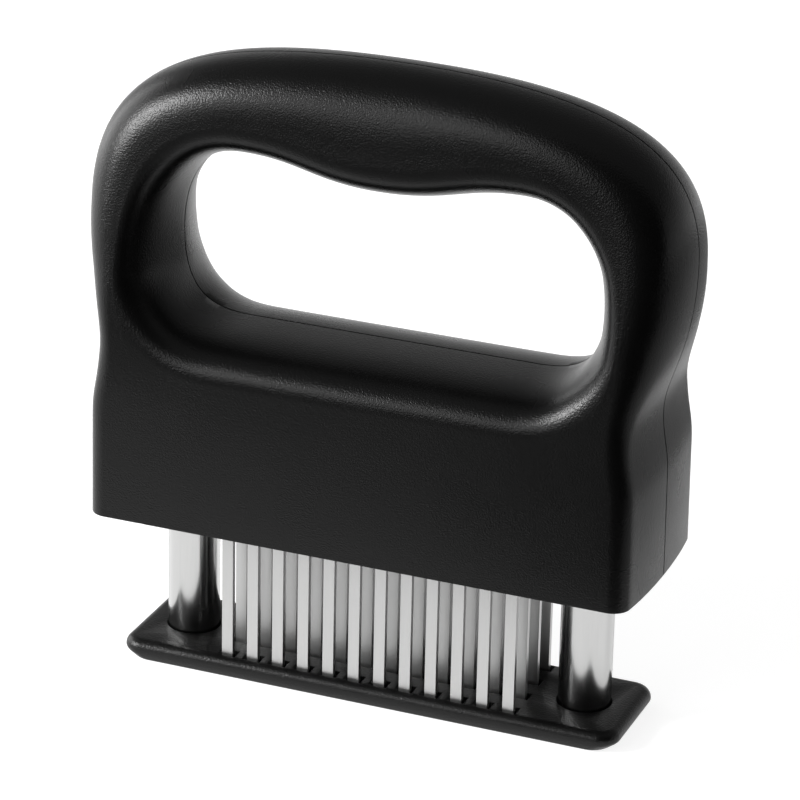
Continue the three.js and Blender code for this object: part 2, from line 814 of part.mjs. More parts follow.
// The front half carries the locating pins and the rear half their sockets.
function withPins(shell, side) {
  const pins = pinPlaces().map(([x, z]) => {
    const radius = side < 0 ? pinRadius : pinRadius + seatClearance;
    const reach = side < 0 ? pinLength : pinLength + seatClearance;
    const back = side < 0 ? -partingGap : 0;
    return crossCylinder(radius, back, reach, x, z);
  });
  return side < 0 ? shell.add(joined(pins)) : shell.subtract(joined(pins));
}

// The base: what stands on the board
addPiece("base_plate", basePlateGeometry(), platePlastic);
const column = columnGeometry();
const screw = screwGeometry();
const spring = springGeometry();
const bush = bushGeometry();
for (const [label, x] of [
  ["left", -columnX],
  ["right", columnX],
]) {
  const stand = new THREE.Group();
  stand.position.x = x;
  tenderizer.add(stand);
  addPiece("column_" + label, column, columnSteel, stand);
  addPiece("screw_" + label, screw, screwSteel, stand);
  addPiece("spring_" + label, spring, springSteel, stand);
  addPiece("guide_bush_" + label, bush, bushPlastic, stand);
}

// The handle: what slides down the columns
addPiece("handle_front_shell", shellGeometry(-1), blackPlastic);
addPiece("handle_rear_shell", shellGeometry(1), blackPlastic);
addPiece("blade_holder", holderGeometry(), innerPlastic);
const blade = bladeGeometry();
for (const { row, place, x, y } of bladePlaces()) {
  const copy = addPiece(`blade_${row + 1}_${place + 1}`, blade, bladeSteel);
  copy.position.set(x, y, 0);
}

export default tenderizer;
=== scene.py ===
import math

import bmesh
import bpy
from mathutils import Matrix, Vector
from mathutils.geometry import interpolate_bezier


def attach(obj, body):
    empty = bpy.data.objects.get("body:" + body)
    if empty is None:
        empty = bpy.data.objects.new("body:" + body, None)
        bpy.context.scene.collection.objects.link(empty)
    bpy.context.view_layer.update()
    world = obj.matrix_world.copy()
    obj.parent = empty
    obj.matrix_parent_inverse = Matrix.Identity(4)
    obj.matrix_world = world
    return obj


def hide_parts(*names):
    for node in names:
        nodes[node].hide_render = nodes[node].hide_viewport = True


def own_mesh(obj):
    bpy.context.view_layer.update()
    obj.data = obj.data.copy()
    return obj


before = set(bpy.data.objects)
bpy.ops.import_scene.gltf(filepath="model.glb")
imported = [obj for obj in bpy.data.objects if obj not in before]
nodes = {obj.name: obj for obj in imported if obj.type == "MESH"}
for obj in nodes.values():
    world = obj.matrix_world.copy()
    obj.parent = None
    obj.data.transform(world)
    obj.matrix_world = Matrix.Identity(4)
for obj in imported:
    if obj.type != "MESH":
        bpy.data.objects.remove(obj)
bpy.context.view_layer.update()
mm = 0.001
facing = 0.9  # a face looks along an axis when its normal has more than this along it
near = 0.01  # millimetres within which two heights count as one
edgeAngle = math.radians(50)  # edges sharper than this are rounded
noiseSpread = (0.3, 0.7)  # where nearly all of a noise's values lie
print("frame loaded:", len(nodes), "nodes")

# Camera
cameraSet = {"azimuth": 21.6, "elevation": 22.9, "roll": 1.25, "distance": 812, "lens": 180, "sensor": 36,
             "reach": 20, "aim": (1.88, 0, 63.6)}


def addCamera():
    azimuth, elevation, roll = (math.radians(cameraSet[key]) for key in ("azimuth", "elevation", "roll"))
    level = math.cos(elevation)
    forward = Vector((-math.sin(azimuth) * level, math.cos(azimuth) * level, -math.sin(elevation)))
    right = Vector((math.cos(azimuth), math.sin(azimuth), 0))
    up = right.cross(forward)
    turnedRight = right * math.cos(roll) + up * math.sin(roll)
    turnedUp = up * math.cos(roll) - right * math.sin(roll)
    place = Vector(cameraSet["aim"]) - forward * cameraSet["distance"]
    bpy.ops.object.camera_add(location=place * mm)
    camera = bpy.context.object
    camera.matrix_world = Matrix((turnedRight, turnedUp, -forward)).transposed().to_4x4()
    camera.location = place * mm
    camera.data.lens = cameraSet["lens"]
    camera.data.sensor_width = cameraSet["sensor"]
    camera.data.clip_end = cameraSet["reach"]
    bpy.context.scene.camera = camera


addCamera()
print("camera placed")


# Small helpers
def clearSelection():
    if bpy.context.mode != "OBJECT":
        bpy.ops.object.mode_set(mode="OBJECT")
    bpy.ops.object.select_all(action="DESELECT")


def chooseOnly(piece):
    clearSelection()
    piece.select_set(True)
    bpy.context.view_layer.objects.active = piece


def startPiece(name):
    piece = bpy.context.object  # the primitive that was just added
    piece.name = name
    piece.data.name = name
    bpy.ops.object.transform_apply(location=True, rotation=True, scale=True)
    return piece


def editFaces(piece, wanted):
    # Edit mode with only the faces selected whose middle and normal pass the test, in millimetres.
    chooseOnly(piece)
    bpy.ops.object.mode_set(mode="EDIT")
    bpy.ops.mesh.select_mode(type="FACE")
    bpy.ops.mesh.select_all(action="DESELECT")
    mesh = bmesh.from_edit_mesh(piece.data)
    for face in mesh.faces:
        if wanted(face.calc_center_median() / mm, face.normal):
            face.select = True
    bmesh.update_edit_mesh(piece.data)


def editEdges(piece, wanted):
    chooseOnly(piece)
    bpy.ops.object.mode_set(mode="EDIT")
    bpy.ops.mesh.select_mode(type="EDGE")
    bpy.ops.mesh.select_all(action="DESELECT")
    mesh = bmesh.from_edit_mesh(piece.data)
    for edge in mesh.edges:
        if wanted(edge.verts[0].co / mm, edge.verts[1].co / mm):
            edge.select = True
    mesh.select_flush_mode()
    bmesh.update_edit_mesh(piece.data)


def applied(piece, kind, **settings):
    chooseOnly(piece)
    modifier = piece.modifiers.new(kind.title(), kind)
    for key, value in settings.items():
        setattr(modifier, key, value)
    bpy.ops.object.modifier_apply(modifier=modifier.name)


def cutOut(piece, cutter):
    applied(piece, "BOOLEAN", operation="DIFFERENCE", solver="EXACT", object=cutter)
    bpy.data.objects.remove(cutter)


def finishPiece(piece, body, stands, material, smoothAngle=35):
    chooseOnly(piece)
    bpy.ops.object.shade_smooth_by_angle(angle=math.radians(smoothAngle))
    piece.data.materials.clear()
    piece.data.materials.append(material)
    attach(piece, body)
    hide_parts(*stands)
    print("made", piece.name, len(piece.data.polygons), "faces")


# Materials
def srgb(code):
    channels = [int(code[i:i + 2], 16) / 255 for i in (1, 3, 5)]
    return tuple(c / 12.92 if c <= 0.04045 else ((c + 0.055) / 1.055) ** 2.4 for c in channels) + (1,)


def newMaterial(name):
    material = bpy.data.materials.new(name)
    material.use_nodes = True
    return material, material.node_tree.nodes["Principled BSDF"]


def addNode(material, kind, settings=None, inputs=None, links=None):
    # One node with its settings, its input values, and its links as {input: (node, output)}.
    node = material.node_tree.nodes.new(kind)
    for key, value in (settings or {}).items():
        setattr(node, key, value)
    for key, value in (inputs or {}).items():
        node.inputs[key].default_value = value
    for key, (source, output) in (links or {}).items():
        material.node_tree.links.new(source.outputs[output], node.inputs[key])
    return node


def roughRange(look):
    low, high = look["roughness"]
    return {"From Min": noiseSpread[0], "From Max": noiseSpread[1], "To Min": low, "To Max": high}


def joinSurface(material, shader, tint, rough, bump):
    links = material.node_tree.links
    links.new(tint.outputs["Result"], shader.inputs["Base Color"])
    links.new(rough.outputs["Result"], shader.inputs["Roughness"])
    links.new(bump.outputs["Normal"], shader.inputs["Normal"])


def grainedPlastic(name, look):
    # Spark-eroded mould skin: a fine, even grain that breaks each highlight into specks.
    material, shader = newMaterial(name)
    place = addNode(material, "ShaderNodeTexCoord")
    grain = addNode(material, "ShaderNodeTexNoise", {"noise_dimensions": "3D"},
                    {"Scale": 1 / (look["grain"] * mm), "Detail": 1.0, "Roughness": 0.5},
                    {"Vector": (place, "Object")})
    flow = addNode(material, "ShaderNodeTexNoise", {"noise_dimensions": "3D"},
                   {"Scale": 1 / (look["patch"] * mm), "Detail": 2.0}, {"Vector": (place, "Object")})
    bump = addNode(material, "ShaderNodeBump", None,
                   {"Strength": look["bump"], "Distance": look["depth"] * mm}, {"Height": (grain, "Fac")})
    tint = addNode(material, "ShaderNodeMix", {"data_type": "RGBA"},
                   {"A": srgb(look["color"]), "B": srgb(look["worn"])}, {"Factor": (flow, "Fac")})
    rough = addNode(material, "ShaderNodeMapRange", None, roughRange(look), {"Value": (flow, "Fac")})
    shader.inputs["IOR"].default_value = look["ior"]
    joinSurface(material, shader, tint, rough, bump)
    return material


def drawnSteel(name, look):
    # Stainless steel with fine lines along the piece, which stretch each reflection across them.
    material, shader = newMaterial(name)
    place = addNode(material, "ShaderNodeTexCoord")
    across = 1 / (look["line"] * mm)
    stretch = addNode(material, "ShaderNodeMapping", None,
                      {"Scale": (across, across, across * look["run"])}, {"Vector": (place, "Object")})
    lines = addNode(material, "ShaderNodeTexNoise", {"noise_dimensions": "3D"},
                    {"Scale": 1.0, "Detail": 2.0}, {"Vector": (stretch, "Vector")})
    bump = addNode(material, "ShaderNodeBump", None,
                   {"Strength": look["bump"], "Distance": look["depth"] * mm}, {"Height": (lines, "Fac")})
    rough = addNode(material, "ShaderNodeMapRange", None, roughRange(look), {"Value": (lines, "Fac")})
    tint = addNode(material, "ShaderNodeMix", {"data_type": "RGBA"},
                   {"A": srgb(look["color"]), "B": srgb(look["pale"])}, {"Factor": (lines, "Fac")})
    shader.inputs["Metallic"].default_value = 1.0
    joinSurface(material, shader, tint, rough, bump)
    return material


# Moulded ABS, black through and through; the grain gives broad, soft highlights with fine specks.
# A spark-eroded grain, commonly about 0.1 mm, is too fine to show, so it is drawn coarser.
handlePlastic = grainedPlastic("black moulded ABS", {
    "color": "#060606", "worn": "#080808", "roughness": (0.26, 0.3), "ior": 1.33, "grain": 0.33,
    "patch": 14, "bump": 1.0, "depth": 0.064})
# The plate's moulded ABS is drawn with a slightly coarser grain, which breaks up its edge's reflections.
platePlastic = grainedPlastic("black grained plate ABS", {
    "color": "#060606", "worn": "#080808", "roughness": (0.3, 0.36), "ior": 1.36, "grain": 0.4,
    "patch": 11, "bump": 1.0, "depth": 0.07})
# Moulded ABS inside the handle, duller, with no sharp reflections.
holderPlastic = grainedPlastic("black inner ABS", {
    "color": "#080808", "worn": "#0a0a0a", "roughness": (0.45, 0.5), "ior": 1.33, "grain": 0.6,
    "patch": 12, "bump": 0.4, "depth": 0.05})
# Turned acetal, a white bearing plastic with a waxy sheen.
bushPlastic = grainedPlastic("turned white acetal", {
    "color": "#e6e4dc", "worn": "#dedbd0", "roughness": (0.38, 0.42), "ior": 1.48, "grain": 0.8,
    "patch": 6, "bump": 0.15, "depth": 0.02})
# Drawn stainless tube, polished along its length, so its reflections are long, clear bands.
tubeSteel = drawnSteel("drawn stainless steel", {
    "color": "#bababa", "pale": "#c6c6c5", "roughness": (0.16, 0.21), "line": 0.25, "run": 0.02,
    "bump": 0.12, "depth": 0.01})
# Stamped stainless strip with a rolled, satin surface that spreads its reflections.
bladeSteel = drawnSteel("rolled stainless strip", {
    "color": "#bababa", "pale": "#c4c4c3", "roughness": (0.34, 0.42), "line": 0.3, "run": 0.03,
    "bump": 0.12, "depth": 0.01})
# Cold-drawn spring wire, a little darker.
wireSteel = drawnSteel("cold-drawn spring wire", {
    "color": "#9c9c9d", "pale": "#ababac", "roughness": (0.28, 0.34), "line": 0.3, "run": 0.3,
    "bump": 0.1, "depth": 0.01})
# Zinc-plated screw, cold and bright.
zincSteel = drawnSteel("bright zinc plating", {
    "color": "#b6babd", "pale": "#c4c8ca", "roughness": (0.24, 0.3), "line": 0.4, "run": 1.0,
    "bump": 0.1, "depth": 0.01})
print("materials mixed")

# Handle
handleSizes = {
    "bottom": 35.6, "floor": 76.7, "top": 135.35, "length": 59.75, "depth": 21.4, "loopDepth": 11.35,
    "draft": 0.35, "bulge": 3.9, "widestRise": 26.2, "waistDrop": 5, "waistDepth": 1.8,
    "shoulderDrop": 19.4, "cornerReach": 4.8, "cornerRadius": 3.9, "openingSide": 46.2,
    "openingSideRise": 16.6, "openingHeight": 32.75, "swell": 3.85, "swellReach": 30, "floorFlat": 31.2,
    "floorReach": (8, 14.6), "depthBlend": (-12.6, 60), "outerBlend": (-8.8, 12), "innerBlend": (0, 25),
    "sideBlend": (2, 12), "gripBlend": (24, 33), "wall": 2.4, "partingGap": 0.12, "lap": 0.4,
    "rimRound": 0.2, "mouthX": 53.15, "mouthY": 17.9, "lip": 1, "lipHeight": 0.7, "lipHold": 0.5,
    "points": 288, "sectionRows": 14, "faceRows": 6, "insideRows": (6, 3), "evenPasses": 40,
    "curveSteps": 160, "openingSteps": 1600, "spareBelow": 10, "spareCorner": 12, "spareHandles": (7, 5),
    "fitPasses": 6, "reachPasses": 12, "softPower": 4, "turnGuess": 0.1, "turnTries": 8,
    "leastRadius": 0.6, "weld": 0.001, "lipGap": 0.02,
}
outlineShares = {
    "gripTop": (0.785, 0.375), "loopSide": (0.58, 0.225), "shoulder": (0.44, 0.465),
    "swell": (0.42, 0.48), "hollow": (0.635, 0.635), "floorTurn": (0.555, 0.865), "outer": 0.51,
    "inner": 0.47, "bothReach": 0.96, "innerFloor": 0.86, "roundFull": (0.625, 0.69), "crownRows": 0.3,
    "floorFull": ((0.6, 0.97), (0.5, 0.63)), "sideFull": (0.315, 0.525), "gripFull": (0.48, 0.64),
}


def bend(start, startHandle, endHandle, end):
    knots = [Vector((x, z, 0)) for x, z in (start, startHandle, endHandle, end)]
    return interpolate_bezier(*knots, handleSizes["curveSteps"])


def evenPoints(stretches, count):
    # Walks the joined curves and sets points at even steps, from the top middle to the bottom middle.
    path = [point for stretch in stretches for point in stretch]
    lengths = [0.0]
    for before, after in zip(path, path[1:]):
        lengths.append(lengths[-1] + (after - before).length)
    points = []
    index = 0
    for step in range(count + 1):
        target = lengths[-1] * step / count
        while index < len(path) - 2 and lengths[index + 1] < target:
            index += 1
        span = lengths[index + 1] - lengths[index]
        points.append(path[index].lerp(path[index + 1], (target - lengths[index]) / span if span else 0))
    return points


def wholeLoop(half):
    mirrored = [Vector((-point.x, point.y, 0)) for point in reversed(half[1:-1])]
    return half + mirrored


def smoothStep(value, low, high):
    t = min(max((value - low) / (high - low), 0), 1)
    return t * t * (3 - 2 * t)


def blendAt(z, name):
    # How far a blend has gone at this height; its range is counted from the opening's floor.
    low, high = handleSizes[name]
    return smoothStep(z, handleSizes["floor"] + low, handleSizes["floor"] + high)


def mix(a, b, t):
    return a + (b - a) * t


def outerOutline():
    s, share = handleSizes, outlineShares
    widestX, widestZ = s["length"] + s["bulge"], s["floor"] + s["widestRise"]
    waistX, waistZ = s["length"] - s["waistDepth"], s["floor"] - s["waistDrop"]
    shoulderX, shoulderZ = s["length"] - s["draft"], s["floor"] - s["shoulderDrop"]
    # Below the bottom edge, the outline turns in under it; that spare part is cut away later.
    cutZ, corner = s["bottom"] - s["spareBelow"], s["spareCorner"]
    sideHandle, underHandle = s["spareHandles"]
    rise, side, shoulder = s["top"] - widestZ, widestZ - waistZ, waistZ - shoulderZ
    return wholeLoop(evenPoints([
        bend((0, s["top"]), (share["gripTop"][0] * widestX, s["top"]),
             (widestX, s["top"] - share["gripTop"][1] * rise), (widestX, widestZ)),
        bend((widestX, widestZ), (widestX, widestZ - share["loopSide"][0] * side),
             (waistX, waistZ + share["loopSide"][1] * side), (waistX, waistZ)),
        bend((waistX, waistZ), (waistX, waistZ - share["shoulder"][0] * shoulder),
             (shoulderX, shoulderZ + share["shoulder"][1] * shoulder), (shoulderX, shoulderZ)),
        [Vector((s["length"], cutZ, 0))],
        bend((s["length"], cutZ), (s["length"], cutZ - sideHandle),
             (s["length"] - underHandle, cutZ - corner), (s["length"] - corner, cutZ - corner)),
        [Vector((0, cutZ - corner, 0))],
    ], s["points"] // 2))


def openingOutline(outer):
    # Each point lies beside its fellow on the outer outline, so that the faces between them don't cross.
    s, share = handleSizes, outlineShares
    sideX, sideZ = s["openingSide"], s["floor"] + s["openingSideRise"]
    swellZ = s["floor"] + s["openingHeight"]
    hollowZ, reach, turn = swellZ + s["swell"], sideX - s["swellReach"], sideX - s["floorFlat"]
    path = evenPoints([
        bend((0, swellZ), (share["swell"][1] * s["swellReach"], swellZ),
             (s["swellReach"] * (1 - share["swell"][0]), hollowZ), (s["swellReach"], hollowZ)),
        bend((s["swellReach"], hollowZ), (s["swellReach"] + share["hollow"][0] * reach, hollowZ),
             (sideX, sideZ + share["hollow"][1] * (hollowZ - sideZ)), (sideX, sideZ)),
        bend((sideX, sideZ), (sideX, sideZ - share["floorTurn"][1] * s["openingSideRise"]),
             (s["floorFlat"] + share["floorTurn"][0] * turn, s["floor"]), (s["floorFlat"], s["floor"])),
        [Vector((0, s["floor"], 0))],
    ], s["openingSteps"])
    last = len(path) - 1
    places = [min(range(last + 1), key=lambda k: (path[k] - point).length_squared)
              for point in outer[:s["points"] // 2 + 1]]
    places[0], places[-1] = 0, last
    for _ in range(s["evenPasses"]):
        places = [0] + [(a + 2 * b + c) / 4 for a, b, c in zip(places, places[1:], places[2:])] + [last]
    return wholeLoop([path[int(place)].lerp(path[min(int(place) + 1, last)], place % 1) for place in places])


def outwardNormals(loop):
    normals = []
    for i, point in enumerate(loop):
        along = loop[(i + 1) % len(loop)] - loop[i - 1]
        normals.append(Vector((-along.y, along.x, 0)).normalized())
    return normals


def evened(values, passes):
    for _ in range(passes):
        count = len(values)
        values = [(values[i - 1] + 2 * values[i] + values[(i + 1) % count]) / 4 for i in range(count)]
    return values


def halfDepth(z, inset):
    s = handleSizes
    loopShare = blendAt(z, "depthBlend")
    return mix(s["depth"], s["loopDepth"], loopShare) - inset


def roundSection(share, reach, depth, fullness):
    # A soft quarter: how far in from the outline, and how far out from the parting plane.
    edgeFull, flatFull = fullness
    rest = 1 - share
    run = 3 * rest * share ** 2 * (1 - flatFull) + share ** 3
    rise = 3 * rest ** 2 * share * edgeFull + 3 * rest * share ** 2 + share ** 3
    return run * reach, rise * depth


def boxSection(share, reach, depth, radius):
    # The housing's end is slightly crowned and turns into the front with a true radius.
    turn = handleSizes["turnGuess"]
    for _ in range(handleSizes["turnTries"]):
        crown = reach - radius * math.cos(turn)
        crownDepth = depth - radius * (1 - math.sin(turn))
        turn = math.atan(2 * crown / crownDepth)
    crownRows = outlineShares["crownRows"]
    if share < crownRows:
        return crown * (share / crownRows) ** 2, crownDepth * share / crownRows
    angle = mix(turn, math.pi / 2, (share - crownRows) / (1 - crownRows))
    return reach - radius * math.cos(angle), depth - radius * (1 - math.sin(angle))


def sectionRow(outline, normals, away, reaches, fulls, boxShares, share, inset, lap):
    # One ring of the section, which goes over from the housing's to the loop's.
    s = handleSizes
    half = s["partingGap"] / 2 + lap
    ring = []
    for point, normal, reach, fullness, boxShare in zip(outline, normals, reaches, fulls, boxShares):
        reach = max(reach - inset, inset)
        depth = halfDepth(point.y, inset) - half
        run, rise = roundSection(share, reach, depth, fullness)
        if boxShare > 0:
            radius = max(s["cornerRadius"] - inset, s["leastRadius"])
            boxRun, boxRise = boxSection(share, s["cornerReach"] - inset, depth, radius)
            run, rise = mix(run, boxRun, boxShare), mix(rise, boxRise, boxShare)
        place = point + normal * (away * (inset + run))
        ring.append(Vector((place.x, -(half + (halfDepth(place.y, inset) - half) * rise / depth), place.y)))
    return ring


def faceRow(first, last, share, inset):
    # A ring on the flat between the two rounded sections.
    places = [a.lerp(b, share) for a, b in zip(first, last)]
    return [Vector((place.x, -halfDepth(place.z, inset), place.z)) for place in places]


def handleRings(half):
    # Rings over the outside, from the outer outline to the opening, and back over the inside of the wall.
    # The front half, 0, has a fuller ledge below the opening than the rear half, 1.
    s, share = handleSizes, outlineShares
    outer = outerOutline()
    inner = openingOutline(outer)
    outerNormals, innerNormals = outwardNormals(outer), outwardNormals(inner)
    outerReach, innerReach, innerFull, boxShares = [], [], [], []
    for point in outer:
        boxShares.append(1 - blendAt(point.y, "outerBlend"))
        nearest = min((point - other).length for other in inner)
        outerReach.append(mix(share["outer"] * nearest, s["cornerReach"], boxShares[-1]))
    for point in inner:
        loopShare = blendAt(point.y, "innerBlend")
        nearest = min((point - other).length for other in outer)
        part = mix(share["innerFloor"], share["inner"], loopShare) * nearest
        power = s["softPower"]
        innerReach.append(part / (1 + (part / s["floorReach"][half]) ** power) ** (1 / power))
        sideShare = blendAt(point.y, "sideBlend")
        gripShare = blendAt(point.y, "gripBlend")
        full = [mix(a, b, sideShare) for a, b in zip(share["floorFull"][half], share["sideFull"])]
        innerFull.append([mix(a, b, gripShare) for a, b in zip(full, share["gripFull"])])
    # Where the loop is narrow, both roundings share its width and leave a thin flat between them.
    widths = [share["bothReach"] * (a - b).length for a, b in zip(outer, inner)]
    fits = [min(width / (a + b), 1) for width, a, b in zip(widths, outerReach, innerReach)]
    fits = evened(fits, s["fitPasses"])
    outerReach = evened([fit * reach for fit, reach in zip(fits, outerReach)], s["reachPasses"])
    innerReach = evened([fit * reach for fit, reach in zip(fits, innerReach)], s["reachPasses"])
    outerFull, noShares = [share["roundFull"]] * len(outer), [0] * len(outer)

    def skin(inset, rows, faceRows, lap=0):
        shares = [i / rows for i in range(rows + 1)]
        outerRings = [sectionRow(outer, outerNormals, -1, outerReach, outerFull, boxShares, part, inset, lap)
                      for part in shares]
        innerRings = [sectionRow(inner, innerNormals, 1, innerReach, innerFull, noShares, part, inset, lap)
                      for part in shares]
        face = [faceRow(outerRings[-1], innerRings[-1], i / faceRows, inset) for i in range(1, faceRows)]
        return outerRings + face + innerRings[::-1]

    # The seam slants through the wall, so the halves lap and no light comes through.
    lap = s["lap"] if half else -s["lap"]
    return skin(0, s["sectionRows"], s["faceRows"]) + skin(s["wall"], *s["insideRows"], lap)[::-1]


def moveSelected(piece, ring, before=None):
    # Sets the selected loop on the ring. A point just extruded still lies on the ring before it.
    mesh = bmesh.from_edit_mesh(piece.data)
    chosen = [vert for vert in mesh.verts if vert.select]
    order = {tuple(place * mm): i for i, place in enumerate(before or ring)}
    for i, vert in enumerate(chosen):
        vert.co = ring[order[tuple(vert.co)] if before else i] * mm
    bmesh.update_edit_mesh(piece.data)


def makeHandleHalf(name, node, side, rings):
    s = handleSizes
    clearSelection()
    bpy.ops.mesh.primitive_circle_add(vertices=len(rings[0]), radius=s["length"] * mm)
    piece = startPiece(name)
    bpy.ops.object.mode_set(mode="EDIT")
    bpy.ops.mesh.select_mode(type="VERT")
    bpy.ops.mesh.select_all(action="SELECT")
    moveSelected(piece, rings[0])
    for before, ring in zip(rings, rings[1:] + rings[:1]):
        bpy.ops.mesh.extrude_edges_move()
        moveSelected(piece, ring, before)
    bpy.ops.mesh.select_all(action="SELECT")
    bpy.ops.mesh.remove_doubles(threshold=s["weld"] * mm)
    if side > 0:
        bpy.ops.transform.mirror(constraint_axis=(False, True, False), center_override=(0, 0, 0))
    bpy.ops.mesh.bisect(plane_co=(0, 0, s["bottom"] * mm), plane_no=(0, 0, 1), use_fill=True,
                        clear_inner=True)
    bpy.ops.mesh.select_all(action="SELECT")
    bpy.ops.mesh.normals_make_consistent(inside=False)
    applied(piece, "BEVEL", width=s["rimRound"] * mm, segments=2, limit_method="ANGLE",
            angle_limit=edgeAngle, harden_normals=False)
    addLip(piece, side)
    finishPiece(piece, "handle", [node], handlePlastic)
    # The wide flats keep their own normals beside the small bevels, so no wedge of shade shows there.
    applied(piece, "WEIGHTED_NORMAL", mode="FACE_AREA", keep_sharp=True)


def addLip(piece, side):
    # The ledge round the underside that the blade holder rests on, drawn as a frame and joined to its half.
    s = handleSizes
    low, high = s["bottom"] + s["lipGap"], s["bottom"] + s["lipHeight"]
    reachX, reachY = s["mouthX"] + s["lip"] + s["lipHold"], s["mouthY"] + s["lip"] + s["lipHold"]
    clearSelection()
    bpy.ops.mesh.primitive_plane_add(size=2, location=(0, 0, low * mm))
    lip = startPiece("lip")
    chooseOnly(lip)
    bpy.ops.object.mode_set(mode="EDIT")
    bpy.ops.mesh.select_all(action="SELECT")
    bpy.ops.transform.resize(value=(reachX * mm, reachY * mm, 1), center_override=(0, 0, 0))
    bpy.ops.mesh.inset(thickness=(s["lip"] + s["lipHold"]) * mm)
    bpy.ops.mesh.delete(type="FACE")
    bpy.ops.mesh.select_all(action="SELECT")
    bpy.ops.mesh.bisect(plane_co=(0, side * s["partingGap"] / 2 * mm, 0), plane_no=(0, -side, 0),
                        clear_outer=True)
    bpy.ops.mesh.select_all(action="SELECT")
    bpy.ops.mesh.extrude_region_move(TRANSFORM_OT_translate={"value": (0, 0, (high - low) * mm)})
    bpy.ops.mesh.select_all(action="SELECT")
    bpy.ops.mesh.normals_make_consistent(inside=False)
    clearSelection()
    lip.select_set(True)
    piece.select_set(True)
    bpy.context.view_layer.objects.active = piece
    bpy.ops.object.join()


makeHandleHalf("handle_front", "handle_front_shell", -1, handleRings(0))
makeHandleHalf("handle_rear", "handle_rear_shell", 1, handleRings(1))

# Base plate
plateSizes = {
    "halfLength": 55.15, "halfDepth": 13.6, "thickness": 4.3, "corner": 4.4, "topRound": 2.1,
    "taperHeight": 1.7, "endTaper": 2.2, "sideTaper": 0.5, "taperRound": 0.5, "slot": (3.0, 1.8),
    "leadIn": 0.6, "pitch": 5.7, "rowPitch": 7, "perRow": 12, "rows": 4, "mouthRound": 0.12,
    "columnX": 44, "socketRadius": 5.8, "socketDepth": 1.6, "screwMouth": 3.8, "screwHole": 2.05,
    "screwSink": 1.9, "overrun": 3, "socketCut": 4, "holeCut": 12, "mouthOverrun": 0.33,
    "sinkOverrun": 0.35, "cornerSteps": 14, "topSteps": 10, "taperSteps": 4, "socketSides": 96,
    "holeSides": 48, "roundAngle": 32,
}


def makeSlotCutters():
    s = plateSizes
    width, depth = s["slot"]
    height = 2 * s["thickness"]
    clearSelection()
    bpy.ops.mesh.primitive_cube_add(size=1, location=(0, 0, 0),
                                    scale=(width * mm, depth * mm, height * mm))
    cutter = startPiece("slot_cutter")
    top = s["thickness"]
    editFaces(cutter, lambda middle, normal: normal.z > facing)
    bpy.ops.transform.translate(value=(0, 0, (top - s["leadIn"] - height / 2) * mm))
    bpy.ops.mesh.extrude_region_move(TRANSFORM_OT_translate={"value": (0, 0, s["leadIn"] * mm)})
    flare = 2 * s["leadIn"]
    bpy.ops.transform.resize(value=((width + flare) / width, (depth + flare) / depth, 1))
    bpy.ops.mesh.extrude_region_move(TRANSFORM_OT_translate={"value": (0, 0, s["overrun"] * mm)})
    bpy.ops.object.mode_set(mode="OBJECT")
    applied(cutter, "ARRAY", count=s["perRow"], use_relative_offset=False, use_constant_offset=True,
            constant_offset_displace=(s["pitch"] * mm, 0, 0))
    applied(cutter, "ARRAY", count=s["rows"], use_relative_offset=False, use_constant_offset=True,
            constant_offset_displace=(0, s["rowPitch"] * mm, 0))
    cutter.location = (-(s["perRow"] - 1) * s["pitch"] / 2 * mm, -(s["rows"] - 1) * s["rowPitch"] / 2 * mm, 0)
    bpy.ops.object.transform_apply(location=True, rotation=False, scale=False)
    return cutter


